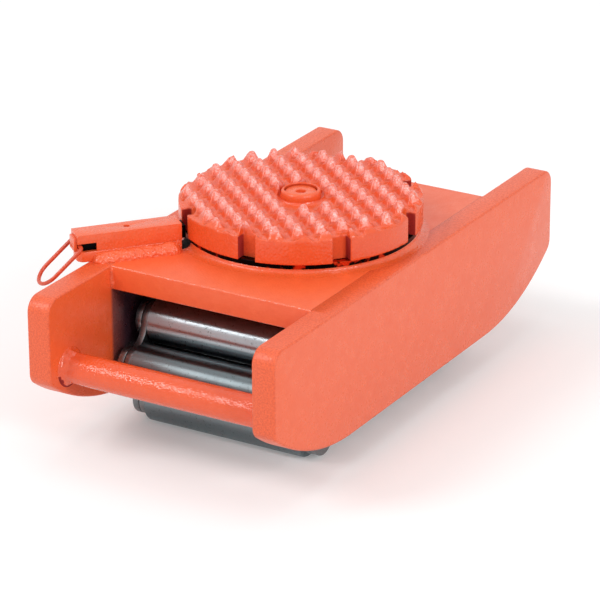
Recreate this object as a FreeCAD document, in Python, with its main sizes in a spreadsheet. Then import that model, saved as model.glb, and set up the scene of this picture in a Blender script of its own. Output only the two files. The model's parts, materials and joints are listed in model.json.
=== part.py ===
import FreeCAD, Part
import math
import os

import Sketcher
from FreeCAD import Placement, Rotation, Vector

# Machine skate: a welded frame on an endless chain of rollers, with a toothed swivel pad on top.
# Frame: +X towards the front tow bar, +Z up, origin on the floor under the swivel axis, millimetres.

# Driving sizes, in millimetres and degrees
SIZES = {
    # Welded frame
    "overall_width": 140.0,
    "plate_thickness": 12.7,
    "side_length": 288.0,
    "side_height": 70.0,
    "keel_length": 140.0,
    "bow_radius": 118.0,
    "horn_radius": 8.0,
    "bow_corner_radius": 7.0,
    "deck_length": 177.0,
    "deck_thickness": 12.7,
    "deck_height": 88.0,
    "tow_bar_diameter": 15.9,
    "tow_bar_inset": 17.0,
    "tow_bar_drop": 40.0,
    "tow_weld_leg": 2.4,
    # Roller chain and the track that it runs round
    "roller_diameter": 24.0,
    "chain_side_gap": 3.5,
    "roller_gap": 1.9,
    "chain_shift": 4.0,
    "rollers_per_run": 6,
    "track_thickness": 16.4,
    "track_clearance": 0.3,
    "pin_diameter": 9.0,
    "pin_clearance": 0.1,
    "link_thickness": 3.6,
    "link_eye_width": 19.0,
    "link_waist": 11.0,
    "link_clearance": 0.8,
    # Swivel pad
    "pad_diameter": 124.0,
    "pad_thickness": 12.5,
    "tooth_pitch": 11.65,
    "tooth_height": 6.1,
    "tooth_tip": 2.4,
    "tooth_valley": 3.0,
    "tooth_shift_along": -4.25,
    "tooth_shift_across": 2.15,
    "groove_least_bite": 0.5,
    "rim_slope_width": 4.5,
    "rim_slope_depth": 5.4,
    "notch_count": 8,
    "notch_width": 9.0,
    "notch_depth": 5.4,
    "hub_diameter": 22.0,
    "hub_base_diameter": 25.0,
    "hub_height": 4.4,
    "recess_diameter": 17.0,
    # Pivot under the pad
    "base_ring_diameter": 121.0,
    "base_ring_thickness": 2.7,
    "thrust_washer_diameter": 120.4,
    "thrust_washer_thickness": 2.7,
    "washer_clearance": 0.25,
    "shoulder_diameter": 10.0,
    "shoulder_clearance": 0.08,
    "thread_diameter": 8.0,
    "thread_clearance": 0.08,
    "screw_head_diameter": 16.0,
    "screw_head_height": 7.0,
    "screw_head_sink": 1.1,
    "screw_head_float": 0.2,
    "socket_width": 5.0,
    "socket_depth": 3.5,
    # Swivel lock
    "lock_angle": -40.5,
    "lock_rim_gap": 3.0,
    "lock_overhang": 11.2,
    "lock_height": 8.9,
    "lock_wall": 1.8,
    "lock_base_corner": 4.0,
    "lock_weld_leg": 5.2,
    "lock_weld_start": 3.7,
    "lock_weld_front_length": 41.0,
    "lock_weld_back_length": 26.0,
    "bolt_proud": 1.4,
    "bolt_clearance": 0.2,
    "bolt_tip_clearance": 0.4,
    "notch_side_clearance": 0.5,
    "notch_end_clearance": 1.0,
    "stop_pin_diameter": 3.0,
    "stop_pin_clearance": 0.05,
    "wire_diameter": 2.6,
    "wire_clearance": 0.15,
    "wire_height": 2.6,
    "wire_edge": 2.9,
    "slot_clearance": 0.4,
    "slot_end_clearance": 2.2,
    "ring_side_gap": 0.95,
    "ring_bend": 2.2,
    "ring_length": 27.0,
    "ring_droop_angle": 42.0,
}

# Sizes worked out from the driving ones
DERIVED = {
    "half_side_length": "=Sizes.side_length / 2",
    "half_keel": "=Sizes.keel_length / 2",
    "bow_rise": "=Sizes.bow_radius - sqrt(Sizes.bow_radius ^ 2 - (half_side_length - half_keel) ^ 2)",
    "side_floor_gap": "=Sizes.deck_height - Sizes.side_height",
    "side_middle": "=(Sizes.overall_width - Sizes.plate_thickness) / 2",
    "inside_width": "=Sizes.overall_width - 2 * Sizes.plate_thickness",
    "half_inside": "=inside_width / 2",
    "half_deck": "=Sizes.deck_length / 2",
    "deck_underside": "=Sizes.deck_height - Sizes.deck_thickness",
    "tow_bar_radius": "=Sizes.tow_bar_diameter / 2",
    "tow_bar_reach": "=half_side_length - Sizes.tow_bar_inset",
    "tow_bar_height": "=Sizes.deck_height - Sizes.tow_bar_drop",
    "tow_weld_radius": "=tow_bar_radius + Sizes.tow_weld_leg",
    "tow_weld_edge": "=half_inside - Sizes.tow_weld_leg",
    "roller_radius": "=Sizes.roller_diameter / 2",
    "link_step": "=Sizes.link_thickness + Sizes.link_clearance",
    "half_pin": "=half_inside - Sizes.chain_side_gap",
    "half_roller": "=half_pin - 2 * link_step",
    "pitch": "=Sizes.roller_diameter + Sizes.roller_gap",
    "half_track": "=Sizes.track_thickness / 2",
    "run_offset": "=half_track + Sizes.track_clearance + roller_radius",
    "track_height": "=roller_radius + run_offset",
    "half_run": "=(Sizes.rollers_per_run - 1) * pitch / 2",
    "half_shift": "=Sizes.chain_shift / 2",
    "half_chord": "=sqrt(half_shift ^ 2 + run_offset ^ 2)",
    "nose_rise": "=sqrt(pitch ^ 2 - half_chord ^ 2)",
    "nose_reach": "=half_run + nose_rise * run_offset / half_chord",
    "nose_lift": "=nose_rise * half_shift / half_chord",
    "track_straight": "=nose_reach - sqrt(run_offset ^ 2 - nose_lift ^ 2)",
    "pin_radius": "=Sizes.pin_diameter / 2",
    "bore_radius": "=pin_radius + Sizes.pin_clearance",
    "outer_link_middle": "=half_pin - Sizes.link_thickness / 2",
    "inner_link_middle": "=outer_link_middle - link_step",
    "eye_half": "=Sizes.link_eye_width / 2",
    "eye_flat": "=eye_half * (sqrt(2) - 1)",
    "eye_end": "=pitch + eye_half",
    "far_eye_near_flat": "=pitch - eye_flat",
    "far_eye_far_flat": "=pitch + eye_flat",
    "waist_half": "=Sizes.link_waist / 2",
    "waist_start": "=eye_flat + eye_half - waist_half",
    "waist_end": "=pitch - waist_start",
    "pad_radius": "=Sizes.pad_diameter / 2",
    "pad_gap": "=Sizes.base_ring_thickness + Sizes.thrust_washer_thickness",
    "pad_blank": "=Sizes.pad_thickness + Sizes.tooth_height",
    "groove_mouth": "=Sizes.tooth_pitch - Sizes.tooth_tip",
    "groove_top": "=pad_blank + Sizes.tooth_height",
    "groove_reach": "=pad_radius + groove_mouth / 2 - Sizes.groove_least_bite",
    "rim_slope_start": "=pad_radius - Sizes.rim_slope_width",
    "rim_slope_foot": "=pad_blank - Sizes.rim_slope_depth",
    "clear_along_low": "=Sizes.tooth_shift_along - Sizes.tooth_pitch / 2",
    "clear_along_high": "=clear_along_low + 2 * Sizes.tooth_pitch",
    "clear_across_low": "=Sizes.tooth_shift_across + Sizes.tooth_pitch / 2",
    "clear_across_high": "=clear_across_low + Sizes.tooth_pitch",
    "notch_floor": "=pad_radius - Sizes.notch_depth",
    "notch_outside": "=pad_radius + Sizes.notch_depth",
    "half_notch": "=Sizes.notch_width / 2",
    "hub_radius": "=Sizes.hub_diameter / 2",
    "hub_base_radius": "=Sizes.hub_base_diameter / 2",
    "hub_top": "=Sizes.pad_thickness + Sizes.hub_height",
    "recess_radius": "=Sizes.recess_diameter / 2",
    "shoulder_radius": "=Sizes.shoulder_diameter / 2",
    "pad_bore_radius": "=shoulder_radius + Sizes.shoulder_clearance",
    "washer_bore_radius": "=shoulder_radius + Sizes.washer_clearance",
    "recess_floor": "=hub_top - Sizes.screw_head_sink - Sizes.screw_head_height - Sizes.screw_head_float",
    "shoulder_length": "=pad_gap + recess_floor + Sizes.screw_head_float",
    "thread_radius": "=Sizes.thread_diameter / 2",
    "tapped_radius": "=thread_radius + Sizes.thread_clearance",
    "screw_head_radius": "=Sizes.screw_head_diameter / 2",
    "shoulder_end": "=Sizes.screw_head_height + shoulder_length",
    "screw_total": "=shoulder_end + Sizes.deck_thickness",
    "socket_corner": "=Sizes.socket_width / sqrt(3)",
    "socket_half": "=Sizes.socket_width / 2",
    "socket_step": "=socket_corner / 2",
    "base_ring_radius": "=Sizes.base_ring_diameter / 2",
    "thrust_washer_radius": "=Sizes.thrust_washer_diameter / 2",
    "bolt_width": "=Sizes.notch_width - 2 * Sizes.notch_side_clearance",
    "half_bolt": "=bolt_width / 2",
    "half_channel": "=half_bolt + Sizes.bolt_clearance",
    "half_lock": "=half_channel + Sizes.lock_wall",
    "lock_top": "=pad_gap + Sizes.lock_height",
    "channel_top": "=lock_top - Sizes.lock_wall",
    "bolt_height": "=channel_top - pad_gap - 2 * Sizes.bolt_clearance",
    "bolt_travel": "=Sizes.notch_depth + Sizes.bolt_tip_clearance - Sizes.notch_end_clearance",
    "lock_start": "=pad_radius + Sizes.lock_rim_gap",
    "lock_end": "=Sizes.overall_width / 2 / sin(-Sizes.lock_angle) + Sizes.lock_overhang",
    "lock_length": "=lock_end - lock_start",
    "bolt_start": "=pad_radius + Sizes.bolt_tip_clearance",
    "bolt_length": "=lock_end + Sizes.bolt_proud - bolt_start",
    "bolt_floor": "=pad_gap + Sizes.bolt_clearance",
    "lock_weld_edge": "=half_lock + Sizes.lock_weld_leg",
    "wire_radius": "=Sizes.wire_diameter / 2",
    "wire_hole_radius": "=wire_radius + Sizes.wire_clearance",
    "wire_along_bolt": "=bolt_length - Sizes.wire_edge",
    "wire_reach": "=bolt_start + wire_along_bolt",
    "slot_top": "=bolt_floor + Sizes.wire_height + wire_radius + Sizes.slot_clearance",
    "slot_start": "=wire_reach - bolt_travel - wire_radius - Sizes.slot_end_clearance - lock_start",
    "slot_past": "=lock_length + Sizes.lock_wall",
    "stop_pin_radius": "=Sizes.stop_pin_diameter / 2",
    "stop_hole_radius": "=stop_pin_radius + Sizes.stop_pin_clearance",
    "stop_pin_reach": "=(lock_start + lock_end) / 2",
    "stop_pin_along": "=stop_pin_reach - lock_start",
    "stop_pin_length": "=lock_top - pad_gap - Sizes.bolt_clearance",
    "stop_slot_half": "=stop_pin_radius + Sizes.bolt_clearance",
    "stop_slot_start": "=stop_pin_reach - bolt_start - stop_slot_half",
    "stop_slot_end": "=stop_pin_reach - bolt_start + bolt_travel + stop_slot_half",
    "ring_leg": "=half_lock + Sizes.ring_side_gap + wire_radius",
}

# Rows of grooves each way across the pad: where the first one lies and how many the rim takes
for way in ("along", "across"):
    DERIVED.update({
        f"{way}_middle": f"=Sizes.tooth_shift_{way} + Sizes.tooth_pitch / 2",
        f"{way}_first": f"=ceil((-groove_reach - {way}_middle) / Sizes.tooth_pitch)",
        f"{way}_last": f"=floor((groove_reach - {way}_middle) / Sizes.tooth_pitch)",
        f"{way}_rows": f"={way}_last - {way}_first + 1",
        f"{way}_start": f"={way}_middle + {way}_first * Sizes.tooth_pitch",
        f"{way}_mouth_low": f"={way}_start - groove_mouth / 2",
        f"{way}_mouth_high": f"={way}_start + groove_mouth / 2",
        f"{way}_valley_low": f"={way}_start - Sizes.tooth_valley / 2",
        f"{way}_valley_high": f"={way}_start + Sizes.tooth_valley / 2",
    })

doc = FreeCAD.newDocument("machine_skate")


def fill_sheet(name, cells):
    """Spreadsheet with one named cell per row."""
    sheet = doc.addObject("Spreadsheet::Sheet", name)
    for row, (alias, content) in enumerate(cells.items(), start=1):
        sheet.set(f"A{row}", alias)
        sheet.set(f"B{row}", str(content))
        sheet.setAlias(f"B{row}", alias)
    doc.recompute()
    return sheet


sizes = fill_sheet("Sizes", SIZES)
derived = fill_sheet("Derived", DERIVED)


def cell(term):
    """Expression for a named cell, with or without a minus sign."""
    sign = "-" if term.startswith("-") else ""
    name = term.lstrip("-")
    sheet = "Sizes" if name in SIZES else "Derived"
    return f"{sign}{sheet}.{name}"


def value(term):
    """Number in a named cell, with or without a minus sign."""
    if term == "0":
        return 0.0
    sign = -1.0 if term.startswith("-") else 1.0
    name = term.lstrip("-")
    sheet = sizes if name in SIZES else derived
    return sign * float(sheet.get(name))


def new_body(name):
    """Empty body that may hold separate solids, such as a pair of plates."""
    body = doc.addObject("PartDesign::Body", name)
    body.AllowCompound = True
    return body


def new_sketch(body, name, plane):
    """Sketch on one of the body's own origin planes."""
    sketch = body.newObject("Sketcher::SketchObject", f"{body.Name}_{name}")
    support = next(item for item in body.Origin.OriginFeatures if item.Role == plane)
    sketch.AttachmentSupport = [(support, "")]
    sketch.MapMode = "FlatFace"
    return sketch


def tie(sketch, kind, geometry, term):
    """Constraint whose value is bound to a cell."""
    index = sketch.addConstraint(Sketcher.Constraint(kind, *geometry, value(term)))
    sketch.setExpression(f"Constraints[{index}]", cell(term))


def tie_point(sketch, geometry, end, place):
    """Hold one point of a sketch at a place given by two cells."""
    across, up = place
    if across == "0":
        sketch.addConstraint(Sketcher.Constraint("PointOnObject", geometry, end, -2))
    else:
        tie(sketch, "DistanceX", (-1, 1, geometry, end), across)
    if up == "0":
        sketch.addConstraint(Sketcher.Constraint("PointOnObject", geometry, end, -1))
    else:
        tie(sketch, "DistanceY", (-1, 1, geometry, end), up)


def bulge_point(start, end, radius, large):
    """Middle of the arc that turns left from start to end, the larger or the smaller way."""
    chord = end - start
    half = chord.Length / 2
    left = Vector(-chord.y, chord.x, 0).normalize()
    reach = math.sqrt(radius ** 2 - half ** 2)
    rise = radius + reach if large else radius - reach
    return (start + end) * 0.5 - left * rise


def draw_outline(sketch, corners, arcs=None):
    """Closed outline; arcs gives a side's number its radius, its turn and whether it is the long way."""
    arcs = arcs or {}
    points = [Vector(value(across), value(up), 0) for across, up in corners]
    first = sketch.GeometryCount
    ends = []
    for side, start in enumerate(points):
        end = points[(side + 1) % len(points)]
        if side not in arcs:
            sketch.addGeometry(Part.LineSegment(start, end))
            ends.append((1, 2))
            continue
        radius, turn, large = arcs[side]
        low, high = (start, end) if turn == "left" else (end, start)
        middle = bulge_point(low, high, value(radius), large)
        sketch.addGeometry(Part.Arc(low, middle, high))
        ends.append((1, 2) if turn == "left" else (2, 1))
    for side in range(len(points)):
        after = (side + 1) % len(points)
        join = (first + side, ends[side][1], first + after, ends[after][0])
        sketch.addConstraint(Sketcher.Constraint("Coincident", *join))
    for side, place in enumerate(corners):
        tie_point(sketch, first + side, ends[side][0], place)
    for side, (radius, _turn, _large) in arcs.items():
        tie(sketch, "Radius", (first + side,), radius)


def draw_circle(sketch, place, radius):
    """Circle with its centre and radius bound to cells."""
    centre = Vector(value(place[0]), value(place[1]), 0)
    index = sketch.addGeometry(Part.Circle(centre, Vector(0, 0, 1), value(radius)))
    if place == ("0", "0"):
        sketch.addConstraint(Sketcher.Constraint("Coincident", index, 3, -1, 1))
    else:
        tie_point(sketch, index, 3, place)
    tie(sketch, "Radius", (index,), radius)


def rectangle(left, right, low, high):
    """Corners of an upright rectangle."""
    return [(left, low), (right, low), (right, high), (left, high)]


def pad(body, sketch, length, side="One side"):
    """Material added from a sketch."""
    feature = body.newObject("PartDesign::Pad", f"{sketch.Name}_pad")
    feature.Profile = sketch
    feature.SideType = side
    feature.setExpression("Length", cell(length))
    sketch.Visibility = False
    doc.recompute()
    return feature


def cut_through(body, sketch):
    """Cut right through the body, both ways from a sketch."""
    before = body.Shape.Volume
    feature = body.newObject("PartDesign::Pocket", f"{sketch.Name}_cut")
    feature.Profile = sketch
    feature.Type = "ThroughAll"
    feature.SideType = "Symmetric"
    doc.recompute()
    check_cut(body, before)
    return feature


def check_cut(body, before):
    """Stop if a cut took nothing away."""
    if not body.Shape.Volume < before:
        raise RuntimeError(f"{body.Name}: a cut removed nothing")


def turn_profile(body, sketch, kind="PartDesign::Revolution"):
    """Full turn of a sketch about its upright axis, added or cut."""
    before = body.Shape.Volume if kind == "PartDesign::Groove" else 0.0
    feature = body.newObject(kind, f"{sketch.Name}_turn")
    feature.Profile = sketch
    feature.ReferenceAxis = (sketch, ["V_Axis"])
    feature.Angle = 360.0
    doc.recompute()
    if kind == "PartDesign::Groove":
        check_cut(body, before)
    return feature


def round_corners(body, corners, radius, plane_axes):
    """Fillet on the edges that run square to a plane through the given corners of that plane."""
    base = body.Tip
    names = []
    for number, edge in enumerate(base.Shape.Edges, start=1):
        middle = edge.CenterOfMass
        flat = [getattr(middle, axis) for axis in plane_axes]
        ends = [[getattr(vertex.Point, axis) for axis in plane_axes] for vertex in edge.Vertexes]
        upright = len(ends) == 2 and math.dist(*ends) < SAME_PLACE
        if upright and any(math.dist(flat, corner) < SAME_PLACE for corner in corners):
            names.append(f"Edge{number}")
    if len(names) != len(corners):
        raise RuntimeError(f"{body.Name}: {len(names)} edges found for {len(corners)} corners")
    feature = body.newObject("PartDesign::Fillet", f"{body.Name}_round_{radius}")
    feature.Base = (base, names)
    feature.setExpression("Radius", cell(radius))
    doc.recompute()
    return feature


def turned(name, corners, arcs=None):
    """Body turned from one profile of radius against height."""
    body = new_body(name)
    profile = new_sketch(body, "profile", "XZ_Plane")
    draw_outline(profile, corners, arcs)
    turn_profile(body, profile)
    return body


def ring(name, bore, outside, height):
    """Plain ring standing on its own origin."""
    return turned(name, rectangle(bore, outside, "0", height))


# Sides of the wire's section, few because the loop is small
WIRE_SIDES = 8
SAME_PLACE = 1e-4
ALONG_Y = Rotation(Vector(1, 0, 0), -90)
LOCK_TURN = Rotation(Vector(0, 0, 1), value("lock_angle"))


def on_lock_line(reach, height):
    """Placement on the lock's radial line, at a distance from the swivel axis and a height."""
    place = LOCK_TURN.multVec(Vector(reach, 0, 0))
    return Placement(Vector(place.x, place.y, height), LOCK_TURN)


def side_plate(name, side):
    """Side plate with a bow that sweeps up to each end and rounded horns on top."""
    body = new_body(name)
    profile = new_sketch(body, "profile", "XZ_Plane")
    corners = [
        ("-half_keel", "0"),
        ("half_keel", "0"),
        ("half_side_length", "bow_rise"),
        ("half_side_length", "side_height"),
        ("-half_side_length", "side_height"),
        ("-half_side_length", "bow_rise"),
    ]
    bow = ("bow_radius", "left", False)
    draw_outline(profile, corners, {1: bow, 5: bow})
    pad(body, profile, "plate_thickness", "Symmetric")
    ends = [-value("half_side_length"), value("half_side_length")]
    horns = [(end, value("side_height")) for end in ends]
    bows = [(end, value("bow_rise")) for end in ends]
    round_corners(body, horns, "horn_radius", "xz")
    round_corners(body, bows, "bow_corner_radius", "xz")
    body.Placement = Placement(Vector(0, side * value("side_middle"), value("side_floor_gap")), Rotation())
    return body


def deck_plate(name):
    """Top plate, flush with the side plates, tapped in the middle for the pivot screw."""
    body = new_body(name)
    outline = new_sketch(body, "outline", "XY_Plane")
    draw_outline(outline, rectangle("-half_deck", "half_deck", "-half_inside", "half_inside"))
    pad(body, outline, "deck_thickness")
    hole = new_sketch(body, "hole", "XY_Plane")
    draw_circle(hole, ("0", "0"), "tapped_radius")
    cut_through(body, hole)
    body.Placement = Placement(Vector(0, 0, value("deck_underside")), Rotation())
    return body


def track_plate(name):
    """Load plate with half-round noses, which the rollers circle."""
    flat = doc.addObject("Part::Box", f"{name}_flat")
    flat.setExpression("Length", f"2 * {cell('track_straight')}")
    flat.setExpression("Width", cell("inside_width"))
    flat.setExpression("Height", cell("track_thickness"))
    flat.setExpression("Placement.Base.x", cell("-track_straight"))
    flat.setExpression("Placement.Base.y", cell("-half_inside"))
    flat.setExpression("Placement.Base.z", cell("-half_track"))
    pieces = [flat]
    for place, reach in (("front", "track_straight"), ("rear", "-track_straight")):
        nose = doc.addObject("Part::Cylinder", f"{name}_{place}_nose")
        nose.setExpression("Radius", cell("half_track"))
        nose.setExpression("Height", cell("inside_width"))
        nose.Placement = Placement(Vector(), ALONG_Y)
        nose.setExpression("Placement.Base.x", cell(reach))
        nose.setExpression("Placement.Base.y", cell("-half_inside"))
        pieces.append(nose)
    plate = doc.addObject("Part::MultiFuse", name)
    plate.Shapes = pieces
    plate.Refine = True
    doc.recompute()
    plate.Placement = Placement(Vector(value("half_shift"), 0, value("track_height")), Rotation())
    return plate


def tow_bar(name, end):
    """Round bar between the side plates, with the weld collar round each end."""
    bar = turned(name, [
        ("0", "-half_inside"), ("tow_weld_radius", "-half_inside"), ("tow_bar_radius", "-tow_weld_edge"),
        ("tow_bar_radius", "tow_weld_edge"), ("tow_weld_radius", "half_inside"), ("0", "half_inside"),
    ])
    bar.Placement = Placement(Vector(end * value("tow_bar_reach"), 0, value("tow_bar_height")), ALONG_Y)
    return bar


def group(name, members):
    """Separate solids that share one node."""
    compound = doc.addObject("Part::Compound", name)
    compound.Links = members
    doc.recompute()
    return compound


def chain_stations():
    """Roller centres in X and Z, in order along the loop: lower run, front nose, upper run, rear nose.

    The chain has come to rest with its lower run a little ahead of the upper one.
    """
    low = value("track_height") - value("run_offset")
    high = value("track_height") + value("run_offset")
    run = [step * value("pitch") - value("half_run") for step in range(int(value("rollers_per_run")))]
    lower = [(reach + value("chain_shift"), low) for reach in run]
    upper = [(reach, high) for reach in reversed(run)]
    front = (value("half_shift") + value("nose_reach"), value("track_height") + value("nose_lift"))
    rear = (value("half_shift") - value("nose_reach"), value("track_height") - value("nose_lift"))
    return lower + [front] + upper + [rear]


def roller(name, station):
    """Hardened roller, bored to turn on its pin."""
    body = turned(name, rectangle("bore_radius", "roller_radius", "-half_roller", "half_roller"))
    body.Placement = Placement(Vector(station[0], 0, station[1]), ALONG_Y)
    return body


def link_plate(name, side, start, end, middle, bored):
    """Waisted link plate with eight-sided eyes, from one pin to the next, at one end of the rollers."""
    plate = new_body(name)
    profile = new_sketch(plate, "profile", "XY_Plane")
    lower = [
        ("-eye_half", "-eye_flat"), ("-eye_flat", "-eye_half"), ("eye_flat", "-eye_half"),
        ("waist_start", "-waist_half"), ("waist_end", "-waist_half"),
        ("far_eye_near_flat", "-eye_half"), ("far_eye_far_flat", "-eye_half"), ("eye_end", "-eye_flat"),
    ]
    upper = [(along, across.lstrip("-")) for along, across in reversed(lower)]
    draw_outline(profile, lower + upper)
    if bored:
        draw_circle(profile, ("0", "0"), "bore_radius")
        draw_circle(profile, ("pitch", "0"), "bore_radius")
    pad(plate, profile, "link_thickness", "Symmetric")
    slope = math.degrees(math.atan2(end[1] - start[1], end[0] - start[0]))
    upright = Rotation(Vector(1, 0, 0), 90)
    turn = Rotation(Vector(0, 1, 0), -slope).multiply(upright)
    plate.Placement = Placement(Vector(start[0], side * value(middle), start[1]), turn)
    return plate


def inner_link_pair(name, start, end):
    """Two link plates next to the roller ends, bored for the pins."""
    hands = ((1, "left"), (-1, "right"))
    return group(name, [
        link_plate(f"{name}_{hand}", side, start, end, "inner_link_middle", True) for side, hand in hands
    ])


def outer_link_pair(name, start, end):
    """Two outer link plates and the two pins that are riveted flush into them."""
    hands = ((1, "left"), (-1, "right"))
    members = [
        link_plate(f"{name}_{hand}", side, start, end, "outer_link_middle", False) for side, hand in hands
    ]
    for station, place in ((start, "first"), (end, "second")):
        pin = doc.addObject("Part::Cylinder", f"{name}_{place}_pin")
        pin.setExpression("Radius", cell("pin_radius"))
        pin.setExpression("Height", f"2 * {cell('half_pin')}")
        pin.Placement = Placement(Vector(station[0], -value("half_pin"), station[1]), ALONG_Y)
        members.append(pin)
    pair = doc.addObject("Part::MultiFuse", name)
    pair.Shapes = members
    pair.Refine = True
    doc.recompute()
    return pair


def groove_rows(body, plane, way):
    """Parallel grooves across the pad, one tooth pitch apart, which leave rows of ridges."""
    profile = new_sketch(body, f"grooves_{way}", plane)
    draw_outline(profile, [
        (f"{way}_mouth_low", "groove_top"), (f"{way}_mouth_low", "pad_blank"),
        (f"{way}_valley_low", "pad_thickness"), (f"{way}_valley_high", "pad_thickness"),
        (f"{way}_mouth_high", "pad_blank"), (f"{way}_mouth_high", "groove_top"),
    ])
    cut = cut_through(body, profile)
    rows = body.newObject("PartDesign::LinearPattern", f"{body.Name}_rows_{way}")
    rows.Originals = [cut]
    rows.Direction = (profile, ["H_Axis"])
    rows.Mode = "Spacing"
    rows.setExpression("Offset", cell("tooth_pitch"))
    rows.setExpression("Occurrences", cell(f"{way}_rows"))
    body.Tip = rows
    doc.recompute()
    return rows


def swivel_pad(name):
    """Round pad with a field of blunt teeth that slopes off at the rim, a hub and notches for the lock.

    Two teeth in front of the hub are left out.
    """
    body = new_body(name)
    blank = new_sketch(body, "blank", "XY_Plane")
    draw_circle(blank, ("0", "0"), "pad_radius")
    pad(body, blank, "pad_blank")
    groove_rows(body, "YZ_Plane", "across")
    groove_rows(body, "XZ_Plane", "along")
    slope = new_sketch(body, "slope", "XZ_Plane")
    draw_outline(slope, [
        ("rim_slope_start", "pad_blank"), ("pad_radius", "rim_slope_foot"), ("notch_outside", "rim_slope_foot"),
        ("notch_outside", "groove_top"), ("rim_slope_start", "groove_top"),
    ])
    turn_profile(body, slope, "PartDesign::Groove")
    clearing = new_sketch(body, "clearing", "XY_Plane")
    clearing.setExpression("AttachmentOffset.Base.z", cell("pad_thickness"))
    draw_outline(
        clearing,
        rectangle("clear_along_low", "clear_along_high", "clear_across_low", "clear_across_high"),
    )
    before = body.Shape.Volume
    cleared = body.newObject("PartDesign::Pocket", f"{name}_clearing_cut")
    cleared.Profile = clearing
    cleared.Reversed = True
    cleared.setExpression("Length", cell("tooth_height"))
    doc.recompute()
    check_cut(body, before)
    hub = new_sketch(body, "hub", "XZ_Plane")
    draw_outline(hub, [
        ("0", "0"), ("hub_base_radius", "0"), ("hub_base_radius", "pad_thickness"),
        ("hub_radius", "hub_top"), ("0", "hub_top"),
    ])
    turn_profile(body, hub)
    bore = new_sketch(body, "bore", "XZ_Plane")
    draw_outline(bore, [
        ("0", "0"), ("pad_bore_radius", "0"), ("pad_bore_radius", "recess_floor"),
        ("recess_radius", "recess_floor"), ("recess_radius", "groove_top"), ("0", "groove_top"),
    ])
    turn_profile(body, bore, "PartDesign::Groove")
    notch = new_sketch(body, "notch", "XY_Plane")
    draw_outline(notch, rectangle("notch_floor", "notch_outside", "-half_notch", "half_notch"))
    cut = cut_through(body, notch)
    notches = body.newObject("PartDesign::PolarPattern", f"{name}_notches")
    notches.Originals = [cut]
    notches.Axis = (notch, ["N_Axis"])
    notches.Angle = 360.0
    notches.setExpression("Occurrences", cell("notch_count"))
    body.Tip = notches
    doc.recompute()
    body.Placement = Placement(Vector(0, 0, value("deck_height") + value("pad_gap")), LOCK_TURN)
    return body


def on_deck(body, height=0.0):
    """Stand a turned piece on the swivel axis, at a height above the deck."""
    body.Placement = Placement(Vector(0, 0, value("deck_height") + height), Rotation())
    return body


def pivot_screw(name):
    """Shoulder screw that the pad turns on, tight in the deck, with its head sunk in the hub."""
    body = turned(name, [
        ("0", "-screw_total"), ("thread_radius", "-screw_total"), ("thread_radius", "-shoulder_end"),
        ("shoulder_radius", "-shoulder_end"), ("shoulder_radius", "-screw_head_height"),
        ("screw_head_radius", "-screw_head_height"), ("screw_head_radius", "0"), ("0", "0"),
    ])
    socket = new_sketch(body, "socket", "XY_Plane")
    draw_outline(socket, [
        ("socket_corner", "0"), ("socket_step", "socket_half"), ("-socket_step", "socket_half"),
        ("-socket_corner", "0"), ("-socket_step", "-socket_half"), ("socket_step", "-socket_half"),
    ])
    before = body.Shape.Volume
    recess = body.newObject("PartDesign::Pocket", f"{name}_socket_cut")
    recess.Profile = socket
    recess.setExpression("Length", cell("socket_depth"))
    doc.recompute()
    check_cut(body, before)
    return on_deck(body, value("shoulder_end"))


def lock_base(name):
    """Bar under the lock, which lifts the bolt to the pad's rim and overhangs the side plate."""
    body = new_body(name)
    outline = new_sketch(body, "outline", "XY_Plane")
    draw_outline(outline, rectangle("0", "lock_length", "-half_lock", "half_lock"))
    pad(body, outline, "pad_gap")
    corners = [(value("lock_length"), side * value("half_lock")) for side in (-1, 1)]
    round_corners(body, corners, "lock_base_corner", "xy")
    body.Placement = on_lock_line(value("lock_start"), value("deck_height"))
    return body


def lock_housing(name):
    """Channel over the bolt, slotted at its outer end for the wire."""
    body = new_body(name)
    section = new_sketch(body, "section", "YZ_Plane")
    draw_outline(section, [
        ("-half_lock", "pad_gap"), ("-half_channel", "pad_gap"),
        ("-half_channel", "channel_top"), ("half_channel", "channel_top"),
        ("half_channel", "pad_gap"), ("half_lock", "pad_gap"),
        ("half_lock", "lock_top"), ("-half_lock", "lock_top"),
    ])
    pad(body, section, "lock_length")
    slot = new_sketch(body, "slot", "XZ_Plane")
    draw_outline(slot, rectangle("slot_start", "slot_past", "0", "slot_top"))
    cut_through(body, slot)
    hole = new_sketch(body, "hole", "XY_Plane")
    draw_circle(hole, ("stop_pin_along", "0"), "stop_hole_radius")
    cut_through(body, hole)
    body.Placement = on_lock_line(value("lock_start"), value("deck_height"))
    return body


def lock_bolt(name):
    """Flat bolt that slides into a notch of the pad, slotted for the stop pin and bored for the wire."""
    body = new_body(name)
    section = new_sketch(body, "section", "YZ_Plane")
    draw_outline(section, rectangle("-half_bolt", "half_bolt", "0", "bolt_height"))
    pad(body, section, "bolt_length")
    slot = new_sketch(body, "slot", "XY_Plane")
    draw_outline(
        slot,
        rectangle("stop_slot_start", "stop_slot_end", "-stop_slot_half", "stop_slot_half"),
    )
    cut_through(body, slot)
    hole = new_sketch(body, "hole", "XZ_Plane")
    draw_circle(hole, ("wire_along_bolt", "wire_height"), "wire_hole_radius")
    cut_through(body, hole)
    body.Placement = on_lock_line(value("bolt_start"), value("deck_height") + value("bolt_floor"))
    return body


def lock_stop_pin(name):
    """Pin through the top of the housing, flush with it, which stops the bolt at both ends of its slot."""
    pin = doc.addObject("Part::Cylinder", name)
    pin.setExpression("Radius", cell("stop_pin_radius"))
    pin.setExpression("Height", cell("stop_pin_length"))
    foot = value("deck_height") + value("lock_top") - value("stop_pin_length")
    pin.Placement = on_lock_line(value("stop_pin_reach"), foot)
    return pin


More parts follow.
